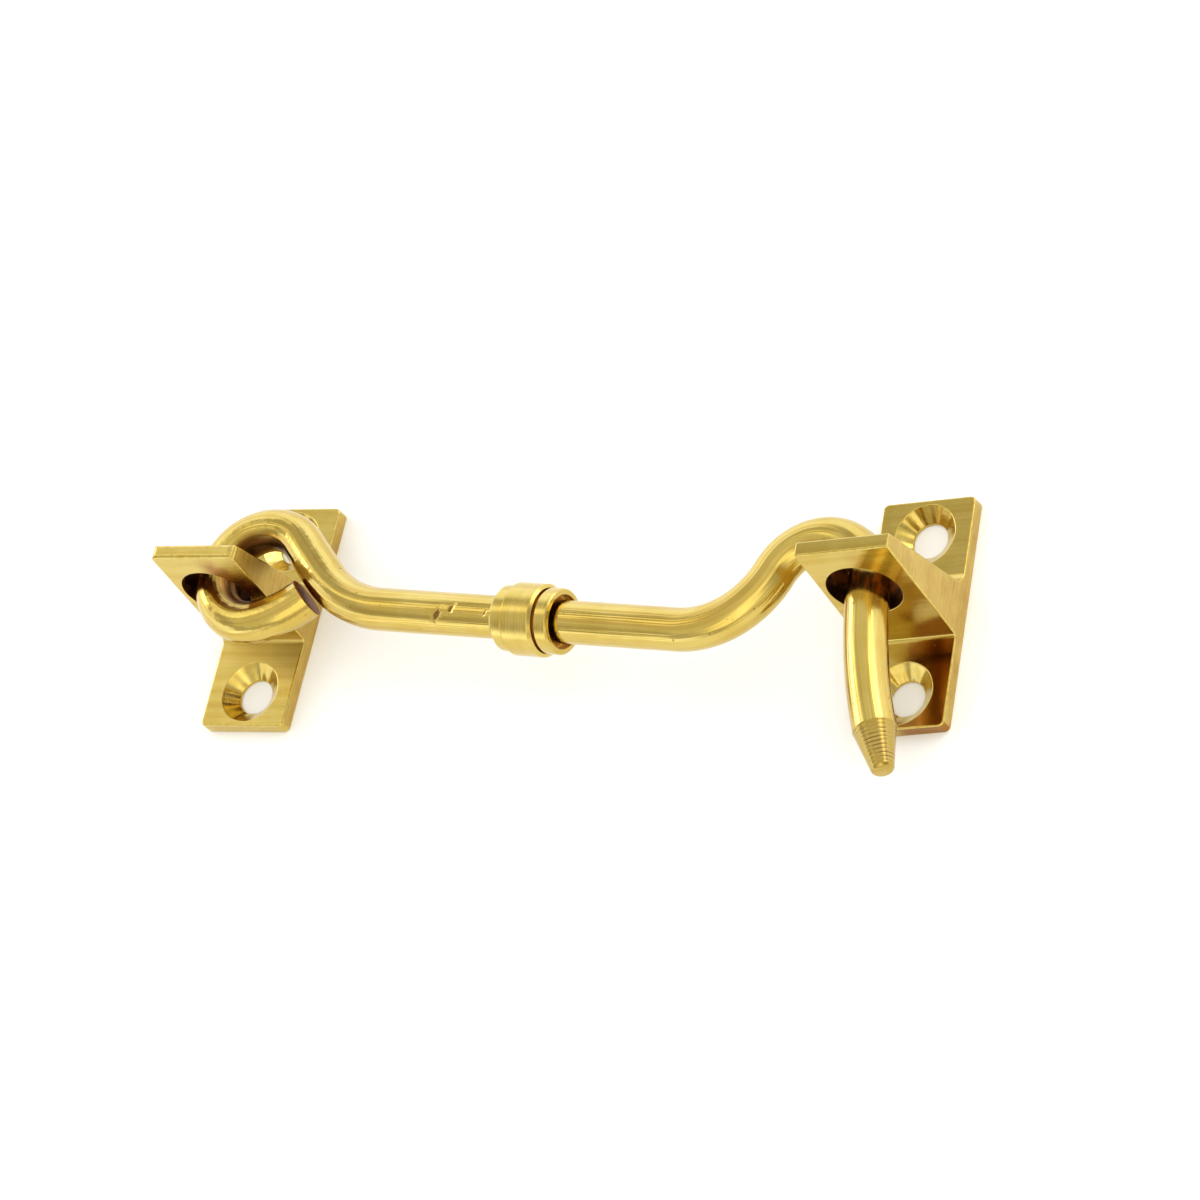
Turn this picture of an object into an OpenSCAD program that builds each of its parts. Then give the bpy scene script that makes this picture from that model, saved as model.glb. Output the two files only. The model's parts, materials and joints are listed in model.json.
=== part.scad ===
// Cabin hook: a bent brass rod with a turned collar. Its eye hangs in one drilled T-section bracket, the
// pivot, and its leg drops through another, the keeper.
// Millimetres. +Z points out of the mounting surface, +X from the pivot to the keeper, +Y to the tops.
// The origin is the centre of the pivot plate's back face. Both plates' back faces lie on z = 0.

/* [Bracket section] */
// Width of a bracket: the length sawn from the T-section
plate_w = 14; // [13.5:0.5:16.5]
// Height of the plate
plate_h = 34.2; // [32:0.2:44]
// Thickness of the plate
plate_t = 2.2; // [2:0.1:3]
// Reach of the shelf from the plate's back
shelf_reach = 23.4; // [21.5:0.1:30]
// Thickness of the shelf where it leaves the plate
shelf_root = 7.6; // [6:0.1:9]
// Thickness of the shelf at its tip
shelf_tip = 2; // [1.4:0.1:3.4]
// Radius of the hollow corner above the shelf
upper_fillet = 2.2; // [1:0.1:2.5]
// Radius of the hollow corner below the shelf
lower_fillet = 0.6; // [0.4:0.1:2.5]
// Bevel along the section's outer edges
edge_bevel = 0.3; // [0.1:0.05:0.4]
// Rounding of the plate's four corners
corner_r = 0.8; // [0.4:0.1:2]

/* [Shelf hole] */
// Diameter of the hole through the shelf
hole_d = 10.4; // [10:0.1:10.8]
// Distance of the hole from the plate's back
hole_out = 14.2; // [13.6:0.1:14.8]
// Distance of the hole from the middle of the shelf's width
hole_aside = -0.9; // [-1.2:0.1:-0.5]

/* [Screw holes] */
// Distance between the two screw holes
screw_spacing = 23.6; // [22:0.1:24.2]
// Diameter of the straight part of a screw hole
screw_d = 5.2; // [4:0.1:6]
// Diameter of the countersink at the plate's face
sink_d = 9.2; // [7.6:0.1:9.6]
// Length of the straight part of a screw hole
screw_land = 0.4; // [0.3:0.1:0.8]

/* [Rod] */
// Diameter of the hook's rod
rod_d = 6; // [5:0.1:6.4]
// Distance of the rod's axis from the plates' back
hook_out = 13.2; // [12.9:0.1:14.6]
// Direction of the shank, from the pivot plate's width
hook_angle = -3.7; // [-5:0.1:0]

/* [Eye] */
// Distance of the eye's centre from the middle of the pivot bracket
eye_x = 5; // [4.8:0.1:5.4]
// Height of the eye's centre above the middle of the pivot shelf
eye_y = 0.9; // [0.4:0.1:1]
// Bend radius of the eye's lower curl
eye_r = 7.15; // [7.05:0.05:7.4]
// Bend radius of the eye's upper arch
eye_arch_r = 7.9; // [7.4:0.1:8.2]
// Angle bent into the lower curl
eye_curl_angle = 160; // [150:1:166]
// Bend radius of the run that closes the eye
eye_close_r = 16; // [14:0.5:18]
// Angle bent into that run, ending at the cut end of the rod
eye_close_angle = 30; // [20:1:31]
// Angle bent into the upper arch
eye_arch_angle = 78; // [74:1:80]
// Bend radius of the nearly straight neck beside the eye
neck_bow_r = 210; // [120:10:400]
// Angle bent into the neck
neck_bow_angle = 2; // [1.5:0.1:3]
// Bend radius from the neck into the shank
neck_r = 17.4; // [14:0.1:24]
// Angle between the shank and the neck
neck_angle = 40.3; // [39:0.1:44]

/* [Shank and hook end] */
// Straight length of the shank
shank_len = 48.8; // [30:0.2:150]
// Bend radius from the shank into the rise
rise_r = 13.2; // [11:0.1:20]
// Slope of the rise to the arch over the keeper
rise_angle = 72.5; // [66:0.5:80]
// Bend radius of the arch over the keeper
arch_r = 7.8; // [7.4:0.1:10]
// Angle by which the leg leans outwards below the arch
leg_lean_angle = 11.4; // [6:0.2:14]
// Bend radius of the leg
leg_r = 75; // [60:1:120]
// Angle bent into the leg
leg_curve_angle = 17; // [12:0.5:20]

/* [Tip] */
// Length of the turned cone
tip_len = 6.6; // [5:0.1:9]
// Taper of the cone, from its axis to its side
tip_taper_angle = 12.5; // [6:0.5:13]
// Rounding of the cone's end
tip_round = 0.7; // [0.3:0.1:0.8]

/* [Collar] */
// Diameter of the collar's barrel
collar_d = 10.1; // [9.6:0.1:13]
// Diameter of the collar's end rings
ring_d = 9.1; // [8.4:0.1:9.2]
// Length of the barrel
barrel_len = 5.1; // [4:0.1:12]
// Length of each end ring
ring_len = 2.4; // [2:0.1:5]
// Bevel on the barrel's edges
barrel_bevel = 0.4; // [0.1:0.05:0.4]
// Bevel on the end rings' edges
ring_bevel = 0.2; // [0.1:0.05:0.3]
// Diameter of the recess in the end towards the keeper
recess_d = 7.4; // [7:0.1:7.8]
// Depth of that recess
recess_depth = 1.5; // [0.5:0.1:3]
// Distance of the collar from the middle of the shank
collar_shift = 1; // [-4:0.5:4]

/* [Keeper place] */
// Direction of the keeper bracket, from the pivot bracket
keeper_angle = 5.3; // [2:0.1:8]
// Distance of the keeper's hole from the top of the leg, along X
keeper_x = 0; // [-0.3:0.1:0.3]
// Distance of the keeper's hole from the top of the leg, along Y
keeper_y = 0.8; // [0.2:0.1:0.8]

/* [Hidden] */
$fn = 96;
cut_margin = 1;
half_h = plate_h / 2;
half_root = shelf_root / 2;
half_tip = shelf_tip / 2;
shelf_lean_angle = atan((half_root - half_tip) / (shelf_reach - plate_t));
rod_r = rod_d / 2;
// The cone's foot stands this far inside the leg's surface and reaches this deep into its end
tip_shoulder = 0.05;
tip_root = 0.5;
// Lengths are set in place to this step, with the remainder in a second step
coarse_step = 0.001;
arch_angle = rise_angle + 90 - leg_lean_angle;
collar_len = barrel_len + 2 * ring_len;

// Unit direction at an angle
function heading(angle) = [cos(angle), sin(angle)];

// The bends from each end of the shank outwards, as radius and angle, with right turns below zero
eye_bends = [
    [neck_r, neck_angle],
    [neck_bow_r, neck_bow_angle],
    [eye_arch_r, -eye_arch_angle],
    [eye_r, -eye_curl_angle],
    [eye_close_r, -eye_close_angle]
];
leg_bends = [[rise_r, rise_angle], [arch_r, -arch_angle], [leg_r, leg_curve_angle]];

// Centre of a bend that starts at a point in a direction
function bend_centre(bend, point, direction) = point + sign(bend[1]) * bend[0] * heading(direction + 90);

// Point and direction after the first bends of a list
function after(bends, count, point = [0, 0], direction = 0) =
    count == 0 ? [point, direction] :
    let (before = after(bends, count - 1, point, direction), bend = bends[count - 1])
    [
        bend_centre(bend, before[0], before[1]) - sign(bend[1]) * bend[0] * heading(before[1] + bend[1] + 90),
        before[1] + bend[1]
    ];

// The eye's centre from the left end of the shank, with X counted to the left
curl_start = after(eye_bends, 3);
eye_centre = bend_centre(eye_bends[3], curl_start[0], curl_start[1]);

// The top and bottom of the leg from the left end of the shank
leg_top = after(leg_bends, 2, [shank_len, 0])[0];
leg_end = after(leg_bends, 3, [shank_len, 0]);

// The top of the leg from the eye's centre, and then in the part's own frame
leg_from_eye = leg_top + [eye_centre[0], -eye_centre[1]];
leg_x = eye_x + leg_from_eye[0] * cos(hook_angle) - leg_from_eye[1] * sin(hook_angle);
leg_y = eye_y + leg_from_eye[0] * sin(hook_angle) + leg_from_eye[1] * cos(hook_angle);

// Hollow corner between the plate's face and the shelf's sloping face
module root_fillet(radius) {
    centre = [half_root + radius * (1 - sin(shelf_lean_angle)) / cos(shelf_lean_angle), plate_t + radius];
    touch = centre - radius * heading(shelf_lean_angle);
    difference() {
        polygon([[half_root, plate_t], [centre[0], plate_t], centre, touch]);
        translate(centre) circle(r = radius);
    }
}

// The drawn T-section: the plate lies along X and the shelf stands along Y
module section() {
    polygon([
        [-half_h, 0],
        [half_h, 0],
        [half_h, plate_t - edge_bevel],
        [half_h - edge_bevel, plate_t],
        [half_root, plate_t],
        [half_tip, shelf_reach - edge_bevel],
        [half_tip - edge_bevel, shelf_reach],
        [edge_bevel - half_tip, shelf_reach],
        [-half_tip, shelf_reach - edge_bevel],
        [-half_root, plate_t],
        [edge_bevel - half_h, plate_t],
        [-half_h, plate_t - edge_bevel]
    ]);
    root_fillet(upper_fillet);
    mirror([1, 0]) root_fillet(lower_fillet);
}

// Outline of the plate with its rounded corners
module plate_outline() {
    square([plate_w - 2 * corner_r, plate_h], center = true);
    square([plate_w, plate_h - 2 * corner_r], center = true);
    for (x = [-1, 1], y = [-1, 1])
        translate([x * (plate_w / 2 - corner_r), y * (half_h - corner_r)]) circle(r = corner_r);
}

// Straight hole from the plate's back, opening into a countersink at its face
module screw_hole() {
    translate([0, 0, -cut_margin]) cylinder(d = screw_d, h = plate_t + 2 * cut_margin);
    translate([0, 0, screw_land]) cylinder(d1 = screw_d, d2 = sink_d, h = plate_t - screw_land);
    translate([0, 0, plate_t]) cylinder(d = sink_d, h = cut_margin);
}

// One bracket: a length of the section with its shelf hole and two screw holes
module bracket() {
    difference() {
        intersection() {
            rotate([90, 0, 90]) translate([0, 0, -plate_w / 2]) linear_extrude(plate_w) section();
            linear_extrude(shelf_reach + cut_margin) plate_outline();
        }
        translate([hole_aside, 0, hole_out])
            rotate([90, 0, 0]) cylinder(d = hole_d, h = plate_h, center = true);
        for (side = [-1, 1]) translate([0, side * screw_spacing / 2, 0]) screw_hole();
    }
}

// Sets a shape at a point in a coarse and a fine step, so that neighbouring lengths of rod meet exactly
module set_at(point) {
    coarse = [for (value = point) round(value / coarse_step) * coarse_step];
    translate(coarse) translate(point - coarse) children();
}

// A run of bends in the rod, each starting where the last one ends
module bent_rod(bends, point = [0, 0]) {
    for (i = [0 : len(bends) - 1]) {
        radius = bends[i][0];
        angle = bends[i][1];
        from = after(bends, i, point);
        set_at(bend_centre(bends[i], from[0], from[1]))
            rotate_extrude(angle = abs(angle), start = angle > 0 ? from[1] - 90 : from[1] + angle + 90)
                translate([radius, 0]) rotate(angle > 0 ? 0 : 180) circle(r = rod_r);
    }
}

// The turned cone on the end of the leg, with a rounded edge that meets its side smoothly
module tip() {
    foot_r = rod_r - tip_shoulder;
    rounding_y = tip_len - tip_round;
    rounding_x = foot_r - (tip_round + rounding_y * sin(tip_taper_angle)) / cos(tip_taper_angle);
    rounding = [rounding_x, rounding_y];
    rotate([0, 90, 0]) rotate_extrude() {
        polygon([
            [0, -tip_root],
            [foot_r, -tip_root],
            [foot_r, 0],
            rounding + tip_round * heading(tip_taper_angle),
            [rounding_x, tip_len],
            [0, tip_len]
        ]);
        intersection() {
            translate(rounding) circle(r = tip_round);
            square([rod_r, tip_len]);
        }
    }
}

// Sets a shape that is drawn from the left end of the shank in its place beside the pivot
module on_hook() {
    translate([eye_x, eye_y, hook_out])
        rotate([0, 0, hook_angle])
            translate([eye_centre[0], -eye_centre[1], 0]) children();
}

module pivot_bracket() {
    color([0.80, 0.62, 0.25]) bracket();
}

module keeper_bracket() {
    color([0.80, 0.62, 0.25])
        translate([leg_x + keeper_x, leg_y + keeper_y, 0])
            rotate([0, 0, keeper_angle])
                translate([-hole_aside, 0, 0]) bracket();
}

module hook() {
    color([0.84, 0.67, 0.30]) on_hook() {
        rotate([-90, 0, 0]) rotate([0, 90, 0]) cylinder(r = rod_r, h = shank_len);
        bent_rod(leg_bends, [shank_len, 0]);
        mirror([1, 0, 0]) bent_rod(eye_bends);
        translate(leg_end[0]) rotate([0, 0, leg_end[1]]) tip();
    }
}

module collar() {
    ring_r = ring_d / 2;
    barrel_r = collar_d / 2;
    barrel_end = ring_len + barrel_len;
    color([0.86, 0.70, 0.34])
        on_hook()
            translate([shank_len / 2 + collar_shift - collar_len / 2, 0, 0])
                rotate([0, 90, 0]) rotate_extrude() polygon([
                    [rod_r, 0],
                    [ring_r - ring_bevel, 0],
                    [ring_r, ring_bevel],
                    [ring_r, ring_len],
                    [barrel_r - barrel_bevel, ring_len],
                    [barrel_r, ring_len + barrel_bevel],
                    [barrel_r, barrel_end - barrel_bevel],
                    [barrel_r - barrel_bevel, barrel_end],
                    [ring_r, barrel_end],
                    [ring_r, collar_len - ring_bevel],
                    [ring_r - ring_bevel, collar_len],
                    [recess_d / 2, collar_len],
                    [recess_d / 2, collar_len - recess_depth],
                    [rod_r, collar_len - recess_depth]
                ]);
}

pivot_bracket();
keeper_bracket();
hook();
collar();
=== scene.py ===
import json
import math

import bmesh
import bpy
from mathutils import Matrix, Vector


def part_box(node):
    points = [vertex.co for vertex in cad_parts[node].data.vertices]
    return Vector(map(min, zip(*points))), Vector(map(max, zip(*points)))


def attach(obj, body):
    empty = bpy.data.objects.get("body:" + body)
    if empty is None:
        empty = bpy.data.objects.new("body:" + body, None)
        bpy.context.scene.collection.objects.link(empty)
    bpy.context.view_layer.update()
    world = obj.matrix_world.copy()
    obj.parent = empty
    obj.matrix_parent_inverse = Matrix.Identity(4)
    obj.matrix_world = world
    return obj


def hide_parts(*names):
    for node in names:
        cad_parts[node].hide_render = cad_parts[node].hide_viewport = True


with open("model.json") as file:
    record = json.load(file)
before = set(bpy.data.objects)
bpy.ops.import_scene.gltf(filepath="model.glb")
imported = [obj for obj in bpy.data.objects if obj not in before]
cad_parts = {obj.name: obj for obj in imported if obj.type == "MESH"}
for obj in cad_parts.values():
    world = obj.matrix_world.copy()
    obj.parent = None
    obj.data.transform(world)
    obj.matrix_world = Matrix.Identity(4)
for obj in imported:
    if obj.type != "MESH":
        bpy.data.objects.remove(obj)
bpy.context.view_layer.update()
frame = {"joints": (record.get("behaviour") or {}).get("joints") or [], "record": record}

# The two brackets
# Each is a short length sawn from one drawn brass T-section. A hole is drilled through its shelf, and two
# countersunk holes in its plate take wood screws. The pivot carries the hook's eye and the keeper its leg.

mm = 0.001
pivot_low, pivot_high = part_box("pivot_bracket")
half_width = (pivot_high.x - pivot_low.x) / 2
half_height = (pivot_high.y - pivot_low.y) / 2
shelf_reach = pivot_high.z
plate_thickness = 2.2 * mm
half_root = 3.8 * mm
half_tip = 1.0 * mm
upper_hollow = 2.2 * mm
lower_hollow = 0.6 * mm
corner_radius = 0.8 * mm
worn_tip_width = 0.9 * mm
worn_tip_edge_share = 0.6
worn_edge_share = 0.25
worn_rim_share = 0.1
worn_edge_steps = 3
at_place = 0.01 * mm
at_side = 0.1 * mm
sawn_if_facing = 0.99
sunk_unless_facing = 0.95
bored_unless_facing = 0.5
sharp_angle = math.radians(30)
shelf_hole_radius = 5.2 * mm
shelf_hole_out = 14.2 * mm
shelf_hole_aside = -0.9 * mm
sink_radius = 4.6 * mm
screw_land = 0.4 * mm
chatter_count = 9
chatter_depth = 0.02 * mm
dull_patch_below = 6.5 * mm
dull_patch_inner = 2.0 * mm
dull_patch_outer = 5.0 * mm
brown_reach = 3.0 * mm
# Moves the keeper's grain, so that the two brackets differ and their finish can tell them apart.
keeper_stock_shift = Vector((0.0, 0.0, 0.4))
cutter_margin = 1.0 * mm
round_steps = 96
hollow_steps = 8
corner_steps = 6
keeper_angle = math.radians(5.3)
mounts = {mount["name"]: mount for mount in frame["record"]["mounts"]}
screw_radius = mounts["pivot_screws"]["dims"]["hole_r_mm"] * mm
screw_offset = mounts["pivot_screws"]["dims"]["pcd_mm"] * mm / 2
keeper_place = Matrix.Translation(mounts["keeper_screws"]["pos_m"]) @ Matrix.Rotation(keeper_angle, 4, "Z")


class Shade:
    """A shader socket that can be used in Python sums, each of which adds a Math node."""

    def __init__(self, tree, socket=None):
        self.tree = tree
        self.socket = socket

    def make(self, kind, settings=None, inputs=None, output=0):
        """Adds a node, with its settings first and then the values or links of its sockets."""
        node = self.tree.nodes.new(kind)
        for name, value in (settings or {}).items():
            setattr(node, name, value)
        for key, value in (inputs or {}).items():
            if isinstance(value, Shade):
                self.tree.links.new(value.socket, node.inputs[key])
            else:
                node.inputs[key].default_value = value
        return Shade(self.tree, node.outputs[output])

    def math(self, operation, *values):
        """A Math node on the values."""
        return self.make("ShaderNodeMath", {"operation": operation}, dict(enumerate(values)))

    def __add__(self, other):
        return self.math("ADD", self, other)

    __radd__ = __add__

    def __sub__(self, other):
        return self.math("SUBTRACT", self, other)

    def __rsub__(self, other):
        return self.math("SUBTRACT", other, self)

    def __mul__(self, other):
        return self.math("MULTIPLY", self, other)

    __rmul__ = __mul__

    def stretched(self, scale):
        """A vector with each axis multiplied, so that a pattern on it is drawn out along the small ones."""
        return self.make("ShaderNodeVectorMath", {"operation": "MULTIPLY"}, {0: self, 1: scale})

    def noise(self, scale=1.0, detail=2.0):
        """A smooth uneven pattern, mostly between 0.3 and 0.7."""
        inputs = {"Vector": self, "Scale": scale, "Detail": detail}
        return self.make("ShaderNodeTexNoise", None, inputs, "Fac")

    def step(self, low, high):
        """0 below low and 1 above high, with a smooth way between."""
        inputs = {"Value": self, "From Min": low, "From Max": high}
        return self.make("ShaderNodeMapRange", {"interpolation_type": "SMOOTHSTEP"}, inputs, "Result")

    def blend(self, colour_at_0, colour_at_1):
        """A colour mixed by this value."""
        factor, first, second, result = 0, 6, 7, 2
        inputs = {factor: self, first: colour_at_0, second: colour_at_1}
        return self.make("ShaderNodeMix", {"data_type": "RGBA"}, inputs, result)

    def parts(self):
        """The three parts of a vector."""
        split = self.make("ShaderNodeSeparateXYZ", None, {0: self}).socket.node
        return [Shade(self.tree, socket) for socket in split.outputs]


brass_pale = (0.66, 0.50, 0.14, 1.0)
brass_gold = (0.59, 0.42, 0.09, 1.0)
brass_deep = (0.40, 0.21, 0.035, 1.0)
brass_brown = (0.15, 0.05, 0.012, 1.0)
brass_black = (0.04, 0.014, 0.005, 1.0)
# Brown for dried polish, and also for painted shade and a painted dark reflection.
polish_and_shade_brown = (0.30, 0.09, 0.012, 1.0)


def brass_finish(name, look, depth):
    """A brass material: the look gives its colour, roughness and height, and depth its relief in metres."""
    material = bpy.data.materials.new(name)
    material.use_nodes = True
    tree = material.node_tree
    metal = tree.nodes["Principled BSDF"]
    metal.inputs["Metallic"].default_value = 1.0
    paint = Shade(tree)
    colour, roughness, height = look(paint)
    relief = paint.make("ShaderNodeBump", None, {"Distance": depth, "Strength": 1.0, "Height": height})
    tree.links.new(colour.socket, metal.inputs["Base Color"])
    tree.links.new(roughness.socket, metal.inputs["Roughness"])
    tree.links.new(relief.socket, metal.inputs["Normal"])
    return material


def stock_of(paint):
    """Place on the bracket's own length of section, in metres."""
    return paint.make("ShaderNodeAttribute", {"attribute_name": "stock"}, output="Vector")


def drawn_look(paint):
    """Faces from the drawing die: lines along the section, clouds from buffing, and brown in places.

    The pivot was buffed less than the keeper, and both are brown round the bore on the shelf's lower face.
    The keeper's plate below its shelf also carries a painted dark reflection."""
    stock = stock_of(paint)
    lines = stock.stretched((60.0, 5200.0, 5200.0)).noise(detail=3.0)
    bands = stock.stretched((25.0, 900.0, 900.0)).noise()
    clouds = stock.noise(scale=240.0, detail=3.0)
    specks = stock.noise(scale=2600.0).step(0.70, 0.76)
    along, across, out = stock.parts()
    on_keeper = out.step(shelf_reach, 2 * shelf_reach)
    on_pivot = 1.0 - on_keeper
    satin = on_pivot * (1.0 - 0.7 * across.step(0.0, half_root))
    height_out = out - keeper_stock_shift.z * on_keeper
    on_plate = 1.0 - height_out.step(plate_thickness, 2 * plate_thickness)
    from_patch = paint.math("ABSOLUTE", across + dull_patch_below)
    dull = on_pivot * on_plate * (1.0 - from_patch.step(dull_patch_inner, dull_patch_outer))
    ragged = brown_reach * stock.noise(scale=700.0, detail=3.0)
    beside_bore = along - shelf_hole_aside
    above_bore = height_out - shelf_hole_out
    from_bore = paint.math("SQRT", beside_bore * beside_bore + above_bore * above_bore) + ragged
    on_lower_face = 1.0 - across.step(-half_tip, 0.0)
    brown_inner = shelf_hole_radius + 0.8 * brown_reach
    brown_outer = shelf_hole_radius + 2.0 * brown_reach
    near_bore = 1.0 - from_bore.step(brown_inner, brown_outer)
    # Brown beside the bore on the shelf's lower face, on one side of it, and weaker on the keeper.
    brown_by_bore = on_lower_face * near_bore * beside_bore.step(0.0, brown_reach) * (0.4 + 0.6 * on_pivot)
    below_shelf = 1.0 - across.step(-half_root - corner_radius, -half_root)
    # Painted dark reflection: brown on the keeper's plate below its shelf, where the leg would mirror dark.
    painted_dark_reflection = on_keeper * on_plate * below_shelf * (along + ragged).step(0.0, brown_reach)
    tone = (0.45 * clouds + 0.55 * bands).step(0.32, 0.68)
    streaks = 0.12 * (1.0 - bands.step(0.30, 0.55))
    drawn = (streaks + 0.5 * specks).blend(tone.blend(brass_gold, brass_pale), brass_deep)
    colour = (0.8 * brown_by_bore).blend((0.8 * painted_dark_reflection).blend(drawn, polish_and_shade_brown), polish_and_shade_brown)
    roughness = 0.07 + 0.08 * lines + 0.08 * clouds + 0.15 * specks + 0.12 * satin + 0.25 * dull
    height = 0.5 * lines + 0.55 * bands - 0.6 * specks
    return colour, roughness, height


def sawn_look(paint):
    """Sawn sides: close saw lines across the section, left satin."""
    stock = stock_of(paint)
    lines = stock.stretched((5200.0, 260.0, 5200.0)).noise(detail=4.0)
    clouds = stock.noise(scale=300.0, detail=3.0)
    scratches = stock.stretched((900.0, 120.0, 1900.0)).noise(detail=4.0).step(0.58, 0.66)
    tone = (0.6 * lines + 0.4 * clouds).step(0.1, 0.8)
    colour = tone.blend(brass_deep, brass_pale)
    roughness = 0.30 + 0.16 * lines + 0.06 * clouds
    height = lines + 0.4 * scratches
    return colour, roughness, height


def drilled_look(paint):
    """Drilled and countersunk walls: bright rings left by the tool's edge, and wedges from its chatter."""
    along, across, out = stock_of(paint).parts()
    beside = paint.math("ABSOLUTE", across) - screw_offset
    from_axis = paint.math("SQRT", along * along + beside * beside)
    place = paint.make("ShaderNodeCombineXYZ", None, {0: from_axis, 1: out})
    rings = place.stretched((4000.0, 4000.0, 1.0)).noise(detail=3.0)
    clouds = stock_of(paint).noise(scale=900.0)
    wedges = paint.math("SINE", chatter_count * paint.math("ARCTAN2", beside, along))
    colour = clouds.step(0.35, 0.65).blend(brass_gold, brass_pale)
    roughness = 0.10 + 0.10 * rings + 0.05 * clouds
    return colour, roughness, 0.15 * rings + wedges


def bored_look(paint):
    """The shelf's bore: rough from the drill, brown with dried polish and nearly black with painted shade."""
    stock = stock_of(paint)
    scores = stock.stretched((300.0, 2600.0, 300.0)).noise()
    polish = stock.noise(scale=420.0, detail=3.0)
    # Painted shade: the bore is nearly black between the brown of dried polish.
    colour = (0.8 * polish + 0.2 * scores).step(0.42, 0.62).blend(brass_black, polish_and_shade_brown)
    roughness = 0.34 + 0.22 * polish
    return colour, roughness, scores


def worn_look(paint):
    """Edges rubbed smooth and bright by buffing."""
    stock = stock_of(paint)
    nicks = stock.noise(scale=1400.0, detail=3.0)
    colour = nicks.step(0.35, 0.6).blend(brass_gold, brass_pale)
    roughness = 0.16 + 0.14 * nicks
    return colour, roughness, nicks


bracket_finishes = (
    brass_finish("drawn_brass", drawn_look, depth=0.012 * mm),
    brass_finish("sawn_brass", sawn_look, depth=0.02 * mm),
    brass_finish("drilled_brass", drilled_look, depth=0.05 * mm),
    brass_finish("bored_brass", bored_look, depth=0.02 * mm),
    brass_finish("worn_brass_edge", worn_look, depth=0.02 * mm),
)
drawn_slot, sawn_slot, drilled_slot, bored_slot, worn_slot = range(len(bracket_finishes))


def mesh_object(name, points, faces):
    """A new object made of points and faces, with its faces turned outwards."""
    mesh = bpy.data.meshes.new(name)
    mesh.from_pydata(points, [], faces)
    work = bmesh.new()
    work.from_mesh(mesh)
    bmesh.ops.recalc_face_normals(work, faces=work.faces)
    work.to_mesh(mesh)
    work.free()
    made = bpy.data.objects.new(name, mesh)
    bpy.context.scene.collection.objects.link(made)
    return made


def prism(name, outline, place):
    """A solid with a flat outline as its two ends: place turns (u, v, end) into a point, with end -1 or 1."""
    count = len(outline)
    points = [place(u, v, end) for end in (-1, 1) for u, v in outline]
    walls = [(i, (i + 1) % count, count + (i + 1) % count, count + i) for i in range(count)]
    return mesh_object(name, points, [*walls, range(count), range(count, 2 * count)])


def turned(name, profile, steps, ring):
    """A turned solid: the profile's (radius, height, chatter) points go round Z. A ring's are closed."""
    points = []
    for step in range(steps):
        angle = 2 * math.pi * step / steps
        for radius, height, chatter in profile:
            reach = radius + chatter * math.cos(chatter_count * angle)
            points.append((reach * math.cos(angle), reach * math.sin(angle), height))
    count = len(profile)
    faces = []
    for step in range(steps):
        here = step * count
        there = (step + 1) % steps * count
        for i in range(count if ring else count - 1):
            after = (i + 1) % count
            faces.append((here + i, there + i, there + after, here + after))
    if not ring:
        faces.append([step * count for step in range(steps)])
        faces.append([step * count + count - 1 for step in range(steps)])
    return mesh_object(name, points, faces)


def arc(centre, radius, start, end, steps):
    """Points on an arc, with its angles in radians."""
    angles = [start + (end - start) * i / steps for i in range(steps + 1)]
    return [(centre[0] + radius * math.cos(a), centre[1] + radius * math.sin(a)) for a in angles]


def hollow_corner(radius):
    """The hollow corner between the plate's face and the shelf's sloping face, from the plate inwards."""
    lean = math.atan((half_root - half_tip) / (shelf_reach - plate_thickness))
    centre_y = half_root + radius * (1 - math.sin(lean)) / math.cos(lean)
    return arc((centre_y, plate_thickness + radius), radius, 1.5 * math.pi, math.pi + lean, hollow_steps)


section = [
    (-half_height, 0.0),
    (half_height, 0.0),
    (half_height, plate_thickness),
    *hollow_corner(upper_hollow),
    (half_tip, shelf_reach),
    (-half_tip, shelf_reach),
    *[(-y, z) for y, z in reversed(hollow_corner(lower_hollow))],
    (-half_height, plate_thickness),
]
corner_x = half_width - corner_radius
corner_y = half_height - corner_radius
plate_outline = []
for quarter, (side_x, side_y) in enumerate(((1, 1), (-1, 1), (-1, -1), (1, -1))):
    turn = quarter * math.pi / 2
    corner = (side_x * corner_x, side_y * corner_y)
    plate_outline += arc(corner, corner_radius, turn, turn + math.pi / 2, corner_steps)
sink_profile = (
    (screw_radius, -cutter_margin, 0.0),
    (screw_radius, screw_land, 0.0),
    (sink_radius, plate_thickness, chatter_depth),
    (sink_radius, plate_thickness + cutter_margin, chatter_depth),
)
bore_profile = (
    (shelf_hole_radius, -half_height, 0.0),
    (shelf_hole_radius, half_height, 0.0),
)


def settled(piece):
    """The piece's mesh with its modifiers worked in, as a new plain mesh."""
    bpy.context.view_layer.update()
    graph = bpy.context.evaluated_depsgraph_get()
    mesh = bpy.data.meshes.new_from_object(piece.evaluated_get(graph))
    piece.modifiers.clear()
    return mesh


def mark_edges(mesh, worn_tip):
    """Tells the bevel how far to round each edge: the rims of holes least, the ends of a worn tip most."""
    work = bmesh.new()
    work.from_mesh(mesh)
    weight = work.edges.layers.float.new("bevel_weight_edge")
    for edge in work.edges:
        if edge.calc_face_angle(0.0) > sharp_angle:
            on_rim = any(face.material_index in (drilled_slot, bored_slot) for face in edge.link_faces)
            at_tip = all(vertex.co.z > shelf_reach - at_place for vertex in edge.verts)
            across_tip = abs(edge.verts[0].co.x - edge.verts[1].co.x) < at_place
            if on_rim:
                edge[weight] = worn_rim_share
            elif worn_tip and at_tip:
                edge[weight] = 1.0 if across_tip else worn_tip_edge_share
            else:
                edge[weight] = worn_edge_share
    work.to_mesh(mesh)
    work.free()


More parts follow.
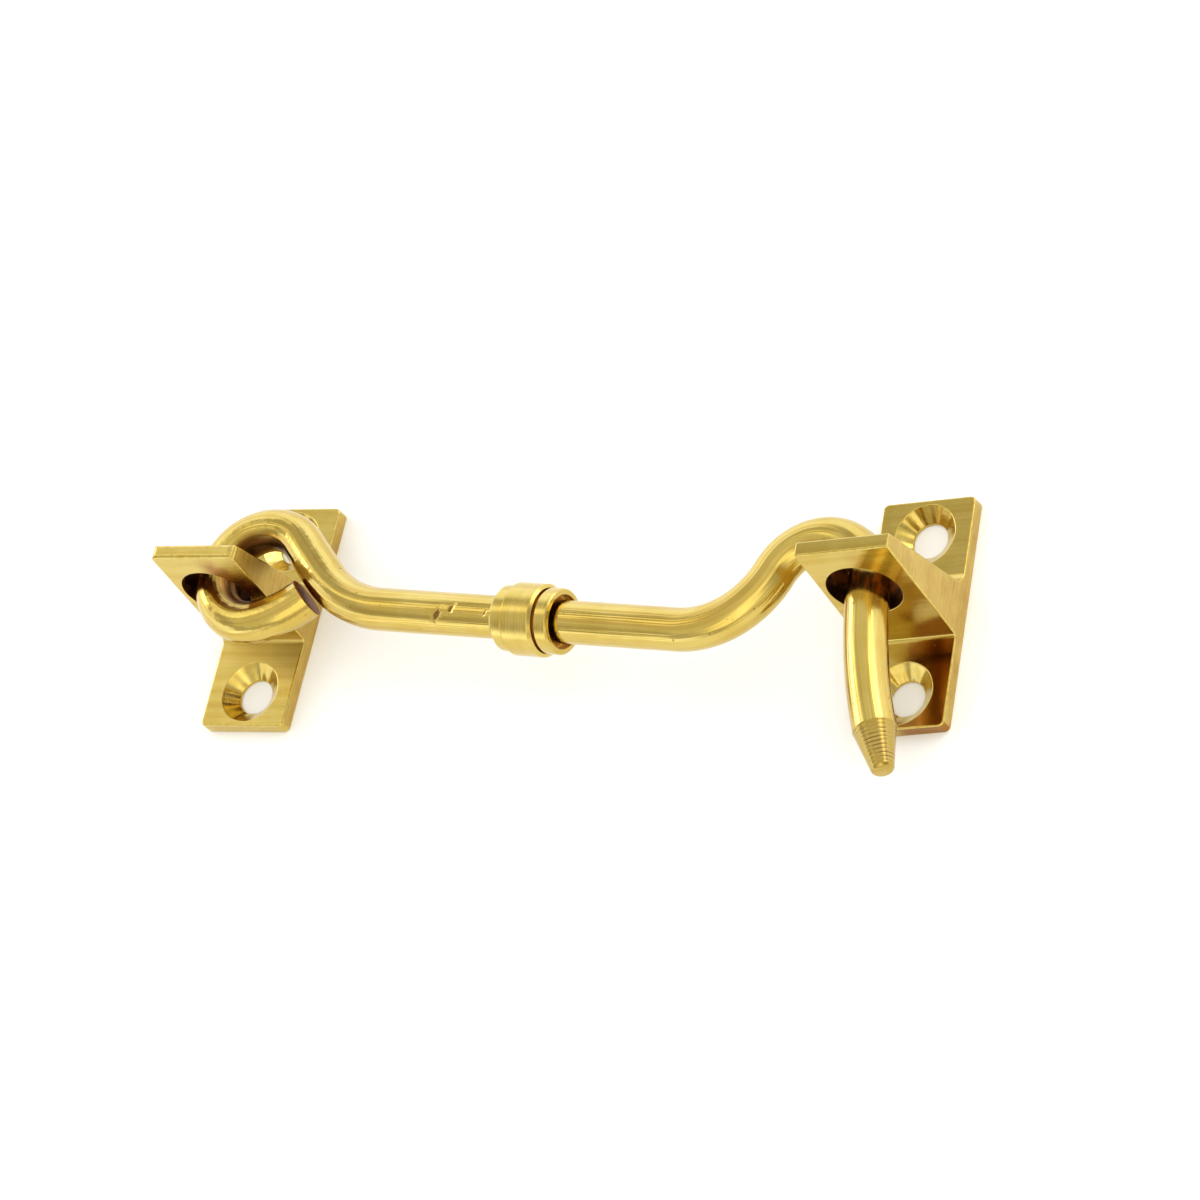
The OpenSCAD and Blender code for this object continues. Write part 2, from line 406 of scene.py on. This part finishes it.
def bracket_mesh(worn_tip):
    """One bracket, standing in its own place with the middle of its plate's back at the origin."""
    blank = prism("bracket_blank", section, lambda y, z, end: (end * half_width, y, z))
    height = shelf_reach + cutter_margin
    trim = prism("plate_trim", plate_outline, lambda x, y, end: (x, y, end * height))
    bore = turned("shelf_bore", bore_profile, round_steps, ring=False)
    bore_place = Matrix.Translation((shelf_hole_aside, 0.0, shelf_hole_out))
    bore.data.transform(bore_place @ Matrix.Rotation(math.pi / 2, 4, "X"))
    cutters = [(trim, "INTERSECT"), (bore, "DIFFERENCE")]
    for side in (-1, 1):
        sink = turned("screw_sink", sink_profile, round_steps, ring=False)
        sink.data.transform(Matrix.Translation((0.0, side * screw_offset, 0.0)))
        cutters.append((sink, "DIFFERENCE"))
    for cutter, operation in cutters:
        cut = blank.modifiers.new(cutter.name, "BOOLEAN")
        cut.operation = operation
        cut.solver = "EXACT"
        cut.object = cutter
    shaped = settled(blank)
    shaped.polygons.foreach_set("use_smooth", [True] * len(shaped.polygons))
    blank.data = shaped
    for cutter, _ in cutters:
        bpy.data.objects.remove(cutter)
    for finish in bracket_finishes:
        shaped.materials.append(finish)
    for face in shaped.polygons:
        x, y, z = face.center
        from_screw = math.hypot(x, abs(y) - screw_offset)
        in_screw_hole = from_screw < sink_radius and 0 < z < plate_thickness
        from_bore = math.hypot(x - shelf_hole_aside, z - shelf_hole_out)
        in_bore = from_bore < shelf_hole_radius and abs(y) < half_root
        if abs(face.normal.x) > sawn_if_facing and abs(abs(x) - half_width) < at_side:
            face.material_index = sawn_slot
        elif in_screw_hole and abs(face.normal.z) < sunk_unless_facing:
            face.material_index = drilled_slot
        elif in_bore and abs(face.normal.y) < bored_unless_facing:
            face.material_index = bored_slot
        else:
            face.material_index = drawn_slot
    mark_edges(shaped, worn_tip)
    worn = blank.modifiers.new("worn_edges", "BEVEL")
    worn.width = worn_tip_width
    worn.segments = worn_edge_steps
    worn.limit_method = "WEIGHT"
    worn.use_clamp_overlap = False
    worn.harden_normals = True
    worn.material = worn_slot
    mesh = settled(blank)
    bpy.data.objects.remove(blank)
    return mesh


bracket_places = (
    ("pivot", Matrix.Identity(4), Vector()),
    ("keeper", keeper_place, keeper_stock_shift),
)
for body, place, shift in bracket_places:
    mesh = bracket_mesh(worn_tip=body == "pivot")
    stock = mesh.attributes.new("stock", "FLOAT_VECTOR", "POINT")
    for vertex, value in zip(mesh.vertices, stock.data):
        value.vector = vertex.co + shift
    mesh.transform(place)
    bracket = bpy.data.objects.new(body + "_bracket_drawn", mesh)
    bpy.context.scene.collection.objects.link(bracket)
    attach(bracket, body)
    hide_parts(body + "_bracket")

# The hook
# It is one length of polished brass rod, bent cold round pins: an eye closed round the pivot's shelf, a
# straight shank, and an arch with a leg that drops through the keeper. The leg's end is turned to a cone.

rod_radius = 2.994 * mm
shank_length = 48.8 * mm
hook_angle = math.radians(-3.7)
neck_radius = 17.4 * mm
neck_angle = math.radians(40.3)
neck_bow_radius = 210.0 * mm
neck_bow_angle = math.radians(2.0)
eye_arch_radius = 7.9 * mm
eye_arch_angle = math.radians(78.0)
eye_radius = 7.15 * mm
eye_curl_angle = math.radians(160.0)
eye_close_radius = 16.0 * mm
eye_close_angle = math.radians(30.0)
rise_radius = 13.2 * mm
rise_angle = math.radians(72.5)
arch_radius = 7.8 * mm
leg_lean = math.radians(11.4)
leg_radius = 75.0 * mm
leg_curve_angle = math.radians(17.0)
cone_length = 6.6 * mm
cone_taper = math.radians(12.5)
cone_shoulder = 0.05 * mm
cone_rounding = 0.7 * mm
lathe_pitch = 0.55 * mm
lathe_depth = 0.012 * mm
lathe_sharpness = 6
nick_shape = (0.45, 1.0, 1.0)
nick_lean = math.radians(-40)
nick_places = (
    (Vector((38.2, -6.4, 15.9)) * mm, 2.0 * mm),
    (Vector((40.7, -5.6, 16.2)) * mm, 1.3 * mm),
    (Vector((46.3, -6.3, 16.1)) * mm, 0.7 * mm),
    (Vector((19.3, 1.5, 14.6)) * mm, 0.5 * mm),
)
burr_bevel = 0.12 * mm
path_step = 0.35 * mm
fewest_bend_steps = 6
rod_sharp_angle = math.radians(28)
cone_step = 0.04 * mm
rod_sides = 96
eye_bends = (
    (neck_radius, neck_angle),
    (neck_bow_radius, neck_bow_angle),
    (eye_arch_radius, -eye_arch_angle),
    (eye_radius, -eye_curl_angle),
    (eye_close_radius, -eye_close_angle),
)
leg_bends = (
    (rise_radius, rise_angle),
    (arch_radius, leg_lean - math.pi / 2 - rise_angle),
    (leg_radius, leg_curve_angle),
)


def heading(angle):
    """Unit direction at an angle in the hook's plane."""
    return Vector((math.cos(angle), math.sin(angle)))


def bent(bends, point):
    """Points along a run of tangent bends, with the last direction and the bends' centres."""
    points = []
    centres = []
    direction = 0.0
    for radius, angle in bends:
        side = math.copysign(1.0, angle)
        centre = point + side * radius * heading(direction + math.pi / 2)
        centres.append(centre)
        steps = max(fewest_bend_steps, round(radius * abs(angle) / path_step))
        for i in range(1, steps + 1):
            points.append(centre - side * radius * heading(direction + angle * i / steps + math.pi / 2))
        direction += angle
        point = points[-1]
    return points, direction, centres


def cone_radius(length):
    """Radius of the turned cone at a length from its foot, with the lathe's lines cut into it."""
    foot = rod_radius - cone_shoulder
    round_y = cone_length - cone_rounding
    round_x = foot - (cone_rounding + round_y * math.sin(cone_taper)) / math.cos(cone_taper)
    lines = lathe_depth * abs(math.sin(math.pi * length / lathe_pitch)) ** lathe_sharpness
    if length > round_y + cone_rounding * math.sin(cone_taper):
        return round_x + math.sqrt(max(0.0, cone_rounding ** 2 - (length - round_y) ** 2))
    return foot - length * math.tan(cone_taper) - lines


eye_points, _, eye_centres = bent(eye_bends, Vector((0.0, 0.0)))
leg_points, leg_direction, _ = bent(leg_bends, Vector((shank_length, 0.0)))
eye_centre = eye_centres[eye_bends.index((eye_radius, -eye_curl_angle))]
shank_steps = round(shank_length / path_step)
shank_points = [Vector((shank_length * i / shank_steps, 0.0)) for i in range(shank_steps + 1)]
centre_line = [Vector((-x, y)) for x, y in reversed(eye_points)] + shank_points + leg_points
thickness = [rod_radius] * len(centre_line)
thickness[0] = rod_radius - burr_bevel
first_step = centre_line[1] - centre_line[0]
centre_line.insert(1, centre_line[0] + burr_bevel * first_step.normalized())
thickness.insert(1, rod_radius)
cone_foot = centre_line[-1]
cone_start = len(centre_line)
cone_steps = round(cone_length / cone_step)
for i in range(1, cone_steps + 1):
    centre_line.append(cone_foot + cone_length * i / cone_steps * heading(leg_direction))
    thickness.append(cone_radius(cone_length * i / cone_steps))
eye_place = next(joint["pos_m"] for joint in frame["joints"] if joint["name"] == "hook_swing")
hook_place = (
    Matrix.Translation(eye_place)
    @ Matrix.Rotation(hook_angle, 4, "Z")
    @ Matrix.Translation((eye_centre.x, -eye_centre.y, 0.0))
)


def rod_place(paint):
    """Distance along the rod and place round it, as one vector without a seam."""
    along = paint.make("ShaderNodeAttribute", {"attribute_name": "along"}, output="Fac")
    ring = paint.make("ShaderNodeAttribute", {"attribute_name": "ring"}, output="Vector")
    ring_x, ring_y = ring.parts()[:2]
    parts = {0: ring_x * rod_radius, 1: ring_y * rod_radius, 2: along}
    return paint.make("ShaderNodeCombineXYZ", None, parts)


def object_place(paint):
    """Place in the piece's own coordinates, in metres."""
    return paint.make("ShaderNodeTexCoord", output="Object")


def polished_look(paint):
    """Buffed rod: faint lines from drawing, soft waves from bending, small pits and a few longer nicks.

    The buffing wheel didn't reach the inside of the eye, which stayed brown; that brown is also painted
    shade."""
    place = rod_place(paint)
    lines = place.stretched((3600.0, 3600.0, 40.0)).noise(detail=3.0)
    ridges = place.stretched((1300.0, 1300.0, 22.0)).noise()
    waves = place.stretched((420.0, 420.0, 110.0)).noise()
    grain = object_place(paint).noise(scale=2800.0)
    clouds = object_place(paint).noise(scale=170.0, detail=4.0)
    pits = object_place(paint).noise(scale=1500.0, detail=1.0).step(0.78, 0.80)
    ragged = object_place(paint).noise(scale=1100.0, detail=3.0)
    eye_x, eye_y = eye_place[:2]
    x, y = object_place(paint).parts()[:2]
    from_eye = paint.math("SQRT", (x - eye_x) * (x - eye_x) + (y - eye_y) * (y - eye_y))
    unbuffed_shaded_eye = 1.0 - from_eye.step(0.68 * eye_radius, 0.88 * eye_radius)
    by_eye = 1.0 - from_eye.step(1.6 * eye_radius, 2.6 * eye_radius)
    dents = object_place(paint).noise(scale=380.0) * by_eye
    nicks = pits
    for point, reach in nick_places:
        turned_place = {
            "Vector": object_place(paint),
            "Location": point,
            "Rotation": (0.0, 0.0, nick_lean),
            "Scale": nick_shape,
        }
        narrowed = paint.make("ShaderNodeMapping", {"vector_type": "TEXTURE"}, turned_place)
        away = paint.make("ShaderNodeVectorMath", {"operation": "LENGTH"}, {0: narrowed}, "Value")
        nicks = paint.math("MAXIMUM", nicks, 1.0 - (away * (1.0 / reach) + ragged).step(0.6, 1.5))
    tone = (0.6 * clouds + 0.4 * lines).step(0.34, 0.64)
    stripes = 0.3 * (1.0 - ridges.step(0.36, 0.50))
    drawn = stripes.blend(tone.blend(brass_gold, brass_pale), brass_deep)
    buffed = (0.8 * nicks.step(0.45, 0.9)).blend(drawn, brass_brown)
    # Painted shade inside the eye, on top of its unbuffed brown.
    colour = (0.92 * unbuffed_shaded_eye).blend(buffed, brass_brown)
    roughness = 0.08 + 0.06 * lines + 0.10 * clouds + 0.2 * nicks + 0.2 * unbuffed_shaded_eye
    height = 0.9 * lines + 8.0 * ridges + 0.5 * grain + 4.0 * waves + 10.0 * dents - 9.0 * nicks
    return colour, roughness, height


def cut_look(paint):
    """The rod's cropped end: torn, dull and browned, never polished."""
    place = object_place(paint)
    tears = place.stretched((500.0, 500.0, 2600.0)).noise(detail=5.0)
    stains = place.noise(scale=900.0, detail=3.0)
    colour = stains.step(0.40, 0.70).blend(brass_brown, polish_and_shade_brown)
    roughness = 0.38 + 0.25 * tears
    return colour, roughness, tears


def cone_look(paint):
    """The turned cone: rings from the lathe, with dark oil left in the grooves."""
    place = rod_place(paint)
    rings = place.stretched((30.0, 30.0, 5200.0)).noise(detail=2.0)
    clouds = object_place(paint).noise(scale=420.0, detail=3.0)
    along = paint.make("ShaderNodeAttribute", {"attribute_name": "along"}, output="Fac") - cone_foot_along
    groove = paint.math("ABSOLUTE", paint.math("SINE", along * (math.pi / lathe_pitch))).step(0.75, 1.0)
    oil = groove * clouds.step(0.45, 0.65)
    colour = (0.28 + 0.5 * oil).blend(clouds.step(0.3, 0.7).blend(brass_gold, brass_pale), brass_brown)
    roughness = 0.16 + 0.14 * rings
    return colour, roughness, rings


def sweep_tree():
    """Geometry nodes that sweep a round rod of varying thickness along the centre line."""
    tree = bpy.data.node_groups.new("rod_sweep", "GeometryNodeTree")
    for name, kind in (("Centre line", "Geometry"), ("Sides", "Int"), ("Finish", "Material")):
        tree.interface.new_socket(name, in_out="INPUT", socket_type="NodeSocket" + kind)
    tree.interface.new_socket("Rod", in_out="OUTPUT", socket_type="NodeSocketGeometry")
    start = tree.nodes.new("NodeGroupInput")
    end = tree.nodes.new("NodeGroupOutput")
    line = tree.nodes.new("GeometryNodeMeshToCurve")
    circle = tree.nodes.new("GeometryNodeCurvePrimitiveCircle")
    circle.inputs["Radius"].default_value = 1.0
    position = tree.nodes.new("GeometryNodeInputPosition")
    ring = tree.nodes.new("GeometryNodeStoreNamedAttribute")
    ring.data_type = "FLOAT_VECTOR"
    ring.inputs["Name"].default_value = "ring"
    thick = tree.nodes.new("GeometryNodeInputNamedAttribute")
    thick.inputs["Name"].default_value = "thickness"
    sweep = tree.nodes.new("GeometryNodeCurveToMesh")
    sweep.inputs["Fill Caps"].default_value = True
    smooth = tree.nodes.new("GeometryNodeSetShadeSmooth")
    whole = tree.nodes.new("GeometryNodeRealizeInstances")
    finish = tree.nodes.new("GeometryNodeSetMaterial")
    for source, target in (
        (start.outputs["Centre line"], line.inputs["Mesh"]),
        (start.outputs["Sides"], circle.inputs["Resolution"]),
        (circle.outputs["Curve"], ring.inputs["Geometry"]),
        (position.outputs["Position"], ring.inputs["Value"]),
        (line.outputs["Curve"], sweep.inputs["Curve"]),
        (ring.outputs["Geometry"], sweep.inputs["Profile Curve"]),
        (thick.outputs["Attribute"], sweep.inputs["Scale"]),
        (sweep.outputs["Mesh"], smooth.inputs["Geometry"]),
        (smooth.outputs["Geometry"], whole.inputs["Geometry"]),
        (whole.outputs["Geometry"], finish.inputs["Geometry"]),
        (start.outputs["Finish"], finish.inputs["Material"]),
        (finish.outputs["Geometry"], end.inputs["Rod"]),
    ):
        tree.links.new(source, target)
    return tree


along = [0.0]
for here, there in zip(centre_line, centre_line[1:]):
    along.append(along[-1] + (there - here).length)
cone_foot_along = along[cone_start - 1]
rod_finishes = (
    brass_finish("polished_rod", polished_look, depth=0.012 * mm),
    brass_finish("cropped_end", cut_look, depth=0.06 * mm),
    brass_finish("turned_cone", cone_look, depth=0.015 * mm),
)
polished_slot, cut_slot, cone_slot = range(len(rod_finishes))
line_mesh = bpy.data.meshes.new("hook_centre_line")
line_edges = [(i, i + 1) for i in range(len(centre_line) - 1)]
line_mesh.from_pydata([hook_place @ point.to_3d() for point in centre_line], line_edges, [])
for name, values in (("along", along), ("thickness", thickness)):
    line_mesh.attributes.new(name, "FLOAT", "POINT").data.foreach_set("value", values)
rod_line = bpy.data.objects.new("rod_line", line_mesh)
bpy.context.scene.collection.objects.link(rod_line)
sweep = rod_line.modifiers.new("rod_sweep", "NODES")
sweep.node_group = sweep_tree()
sweep_inputs = {"Sides": rod_sides, "Finish": rod_finishes[polished_slot]}
for socket in sweep.node_group.interface.items_tree:
    if socket.name in sweep_inputs:
        sweep[socket.identifier] = sweep_inputs[socket.name]
rod_mesh = settled(rod_line)
bpy.data.objects.remove(rod_line)
rod_mesh.materials.clear()
for finish in rod_finishes:
    rod_mesh.materials.append(finish)
rod_along = rod_mesh.attributes["along"].data
for face in rod_mesh.polygons:
    middle = sum(rod_along[v].value for v in face.vertices) / len(face.vertices)
    if middle > cone_foot_along:
        face.material_index = cone_slot
    elif middle < burr_bevel / 2:
        face.material_index = cut_slot
    else:
        face.material_index = polished_slot
rod_mesh.set_sharp_from_angle(angle=rod_sharp_angle)
hook = bpy.data.objects.new("hook_rod", rod_mesh)
bpy.context.scene.collection.objects.link(hook)
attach(hook, "hook")
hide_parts("hook")

# The collar
# It is a short brass sleeve, turned from bar with a barrel between two narrower rings and a recess in the end
# towards the keeper. It is pressed on the shank as a grip, and its turned face is lightly polished.

collar_radius = 5.05 * mm
ring_radius = 4.55 * mm
barrel_length = 5.1 * mm
ring_length = 2.4 * mm
barrel_bevel = 0.4 * mm
ring_bevel = 0.2 * mm
worn_end = 0.8 * mm
groove_depth = 0.4 * mm
groove_width = 0.45 * mm
recess_radius = 3.7 * mm
recess_depth = 1.5 * mm
collar_shift = 1.0 * mm
collar_steps = 128
collar_edge_width = 0.06 * mm
collar_edge_steps = 2
collar_length = barrel_length + 2 * ring_length
barrel_end = ring_length + barrel_length
collar_start = (shank_length - collar_length) / 2 + collar_shift
recess_floor = collar_start + collar_length - recess_depth
collar_profile = [
    (rod_radius, 0.0),
    (ring_radius - worn_end, 0.0),
    (ring_radius - worn_end / 2, worn_end),
    (ring_radius, worn_end),
    (ring_radius, ring_length),
    (collar_radius - barrel_bevel, ring_length),
    (collar_radius, ring_length + barrel_bevel),
    (collar_radius, barrel_end - barrel_bevel),
    (collar_radius - barrel_bevel, barrel_end),
    (ring_radius - groove_depth, barrel_end),
    (ring_radius - groove_depth, barrel_end + groove_width),
    (ring_radius, barrel_end + groove_width),
    (ring_radius, collar_length - ring_bevel),
    (ring_radius - ring_bevel, collar_length),
    (recess_radius, collar_length),
    (recess_radius, collar_length - recess_depth),
    (rod_radius, collar_length - recess_depth),
]


def turned_look(paint):
    """Fine rings from the turning tool, lightly polished.

    The groove and the recess have dried polish and painted shade.
    """
    turned_place = paint.make("ShaderNodeAttribute", {"attribute_name": "turning"}, output="Vector")
    along, across, out = turned_place.parts()
    radius = paint.math("SQRT", across * across + out * out)
    place = paint.make("ShaderNodeCombineXYZ", None, {0: along, 1: radius})
    rings = place.stretched((6200.0, 6200.0, 1.0)).noise(detail=3.0)
    clouds = object_place(paint).noise(scale=420.0, detail=4.0)
    tone = (0.5 * rings + 0.5 * clouds).step(0.35, 0.65)
    groove_middle = collar_start + barrel_end + groove_width / 2
    from_groove = paint.math("ABSOLUTE", along - groove_middle)
    in_groove = 1.0 - from_groove.step(0.5 * groove_width, 0.7 * groove_width)
    below = 1.0 - radius.step(ring_radius - groove_depth / 2, ring_radius)
    inside = 1.0 - radius.step(recess_radius, 1.05 * recess_radius)
    in_recess = inside * along.step(recess_floor, 1.01 * recess_floor)
    # Painted shade in the groove and the recess, over dried polish there.
    groove_polish_and_shade = paint.math("MAXIMUM", in_groove * below, in_recess)
    colour = (0.8 * groove_polish_and_shade).blend(tone.blend(brass_gold, brass_pale), polish_and_shade_brown)
    roughness = 0.11 + 0.10 * rings + 0.05 * clouds
    return colour, roughness, rings


ring_profile = [(radius, height, 0.0) for radius, height in collar_profile]
collar = turned("collar_turned", ring_profile, collar_steps, ring=True)
collar.data.polygons.foreach_set("use_smooth", [True] * len(collar.data.polygons))
rubbed = collar.modifiers.new("rubbed_edges", "BEVEL")
rubbed.width = collar_edge_width
rubbed.segments = collar_edge_steps
rubbed.limit_method = "ANGLE"
rubbed.angle_limit = sharp_angle
rubbed.harden_normals = True
collar.data = settled(collar)
collar.data.transform(Matrix.Translation((collar_start, 0.0, 0.0)) @ Matrix.Rotation(math.pi / 2, 4, "Y"))
turning = collar.data.attributes.new("turning", "FLOAT_VECTOR", "POINT")
for vertex, value in zip(collar.data.vertices, turning.data):
    value.vector = vertex.co
collar.data.transform(hook_place)
collar.data.materials.append(brass_finish("turned_brass", turned_look, depth=0.014 * mm))
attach(collar, "hook")
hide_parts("collar")

# The table
# A plain white table, on which the latch lies on the backs of its plates.

table_half = 2.0
table_drop = 0.03 * mm
table_white = (0.93, 0.92, 0.91, 1.0)
table_roughness = 0.6
table_sides = ((-1, -1), (1, -1), (1, 1), (-1, 1))
table_corners = [(x * table_half, y * table_half, -table_drop) for x, y in table_sides]
table = mesh_object("table", table_corners, [(0, 1, 2, 3)])
table_finish = bpy.data.materials.new("white_table")
table_finish.use_nodes = True
paint_coat = table_finish.node_tree.nodes["Principled BSDF"]
paint_coat.inputs["Base Color"].default_value = table_white
paint_coat.inputs["Roughness"].default_value = table_roughness
table.data.materials.append(table_finish)

# The light
# A room with white walls and a dimmer cream ceiling, soft windows all round and a slightly dark doorway on
# the right. A lamp on the right lights the table alone, because the brass doesn't mirror it.

wall_white = (1.0, 1.05, 1.20, 1.0)
wall_brightness = 1.50
ceiling_cream = (1.0, 0.98, 0.88, 1.0)
ceiling_dimming = 0.88
ceiling_edge = (0.20, 0.36)
room_lean = Vector((0.28, -0.20, 0.94))
doorway_side = Vector((0.82, -0.17, 0.55))
doorway_dimming = 0.35
doorway_edge = (0.91, 0.97)
far_side = Vector((0.45, 0.78, 0.44))
lamp_size = 1.4
lamp_power = 4.0
lamp_colour = (0.88, 0.93, 1.0)
lamp_place = Vector((0.5, -0.1, 0.75))
# Each lit place has a direction, a strength, and the cosines at which it begins and is full.
lit_places = {
    "ceiling_middle": (room_lean, 0.28, 0.50, 0.60),
    "ceiling_top": (room_lean, 0.20, 0.85, 1.0),
    "far_curtain": (far_side, 0.8, 0.90, 0.97),
    "far_window": (far_side, 2.0, 0.955, 0.990),
    "left_window": (Vector((-0.71, 0.29, 0.64)), 0.6, 0.975, 0.992),
    "low_window": (Vector((-0.87, 0.24, 0.43)), 2.0, 0.965, 0.992),
    "small_window": (Vector((0.69, 0.50, 0.52)), 1.4, 0.980, 0.994),
    "near_wall": (Vector((0.54, -0.69, 0.47)), 0.3, 0.80, 0.95),
    "near_window": (Vector((0.26, -0.80, 0.54)), 0.6, 0.90, 0.975),
    "high_window": (Vector((0.40, -0.36, 0.84)), 0.5, 0.93, 0.985),
    "front_window": (Vector((-0.61, -0.79, 0.05)), 0.35, 0.97, 0.995),
    "narrow_window": (Vector((-0.55, 0.13, 0.825)), 0.9, 0.985, 0.998),
}
room = bpy.data.worlds.new("white_room")
room.use_nodes = True
bpy.context.scene.world = room
air = Shade(room.node_tree)
toward = air.make("ShaderNodeTexCoord", output="Generated")


def facing(direction):
    """How far a ray looks towards a direction, from -1 to 1."""
    inputs = {0: toward, 1: direction.normalized()}
    return air.make("ShaderNodeVectorMath", {"operation": "DOT_PRODUCT"}, inputs, "Value")


ceiling = facing(room_lean).step(*ceiling_edge)
doorway = facing(doorway_side).step(*doorway_edge)
room_light = wall_brightness - ceiling_dimming * ceiling
for side, strength, start, full in lit_places.values():
    room_light = room_light + strength * facing(side).step(start, full)
brightness = room_light * (1.0 - doorway_dimming * doorway)
background = room.node_tree.nodes["Background"]
room.node_tree.links.new(ceiling.blend(wall_white, ceiling_cream).socket, background.inputs["Color"])
room.node_tree.links.new(brightness.socket, background.inputs["Strength"])
table_light = bpy.data.lights.new("table_lamp", "AREA")
table_light.size = lamp_size
table_light.energy = lamp_power
table_light.color = lamp_colour
table_lamp = bpy.data.objects.new("table_lamp", table_light)
table_lamp.location = lamp_place
table_lamp.rotation_euler = (Vector(eye_place) - lamp_place).to_track_quat("-Z", "Y").to_euler()
table_lamp.visible_glossy = False
bpy.context.scene.collection.objects.link(table_lamp)
bpy.context.scene.view_settings.view_transform = "Standard"

# The camera
# A long lens close to the photograph's own view, from above and right of the keeper, rolled so that the
# shank lies level in the picture.

camera_place = Vector((0.5623, -0.3480, 0.7245))
camera_forward = Vector((-0.5344, 0.3689, -0.7605)).normalized()
picture_up = Vector((0.0039, 0.9008, 0.4342))
sensor_millimetres = 36.0
lens_millimetres = 206.57
camera_right = camera_forward.cross(picture_up).normalized()
camera_up = camera_right.cross(camera_forward)
camera_turn = Matrix((camera_right, camera_up, -camera_forward)).transposed().to_4x4()
camera_data = bpy.data.cameras.new("camera")
camera_data.sensor_width = sensor_millimetres
camera_data.lens = lens_millimetres
camera = bpy.data.objects.new("camera", camera_data)
camera.matrix_world = Matrix.Translation(camera_place) @ camera_turn
bpy.context.scene.collection.objects.link(camera)
bpy.context.scene.camera = camera
